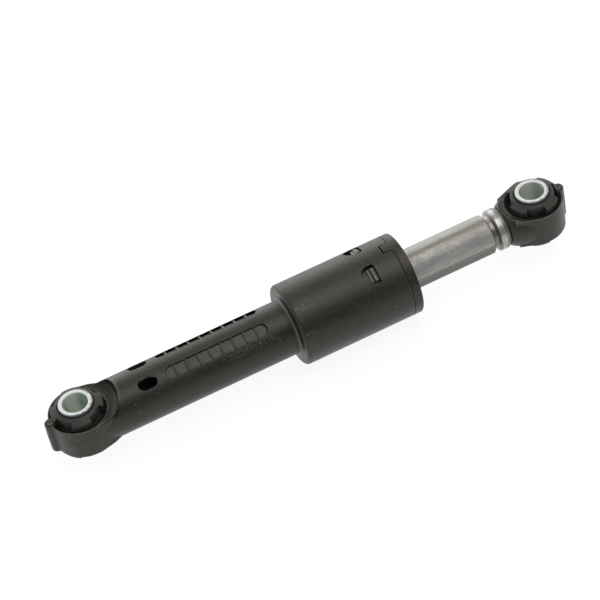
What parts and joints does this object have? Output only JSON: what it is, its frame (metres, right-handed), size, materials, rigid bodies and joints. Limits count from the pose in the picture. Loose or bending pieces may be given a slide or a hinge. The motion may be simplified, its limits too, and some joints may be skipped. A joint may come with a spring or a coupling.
{
  "type": "washing machine shock absorber",
  "caption": "Friction damper strut with a steel plunger in a black moulded barrel and a rubber-bushed eye at each end, carrying a washing machine's tub.",
  "frame": {"origin": "middle of the barrel eye's bore, on the axis of the barrel", "axes": "+X along the barrel and plunger towards the plunger eye, +Z along both eye bores, +Y completes the right-handed frame"},
  "size_m": [0.2302, 0.0342, 0.0342],
  "materials": {
    "black_housing_plastic": "satin moulded black with fine specks",
    "black_cap_plastic": "satin moulded black",
    "black_head_plastic": "satin moulded black",
    "black_bush_rubber": "matte black rubber",
    "zinc_sleeve_steel": "bright zinc plated, cut ends",
    "bare_tube_steel": "drawn steel with lengthwise streaks and brown stains",
    "stop_ring_rubber": "matte black rubber",
    "white_carrier_plastic": "natural white moulding",
    "lining_foam": "greased open foam",
    "guide_ring_plastic": "natural white moulding"
  },
  "bodies": {
    "barrel": {"barrel_housing": "black_housing_plastic", "end_cap": "black_cap_plastic", "rear_stop_ring": "stop_ring_rubber", "front_stop_ring": "stop_ring_rubber", "barrel_eye_rubber": "black_bush_rubber", "barrel_eye_sleeve": "zinc_sleeve_steel"},
    "lining_unit": {"lining_carrier": "white_carrier_plastic", "rear_friction_lining": "lining_foam", "front_friction_lining": "lining_foam"},
    "guide": {"guide_ring": "guide_ring_plastic"},
    "plunger": {"plunger_tube": "bare_tube_steel", "plunger_eye_head": "black_head_plastic", "plunger_eye_rubber": "black_bush_rubber", "plunger_eye_sleeve": "zinc_sleeve_steel"}
  },
  "joints": [
    {"name": "plunger_slide", "type": "slide", "parent": "barrel", "child": "guide", "axis": [1, 0, 0], "range_m": [-0.025, 0.036]},
    {"name": "plunger_turn", "type": "hinge", "parent": "guide", "child": "plunger", "pos_m": [0.0527, 0, 0], "axis": [1, 0, 0], "continuous": true},
    {"name": "lining_unit_float", "type": "slide", "parent": "barrel", "child": "lining_unit", "axis": [1, 0, 0], "range_m": [-0.0029, 0.0029]}
  ]
}
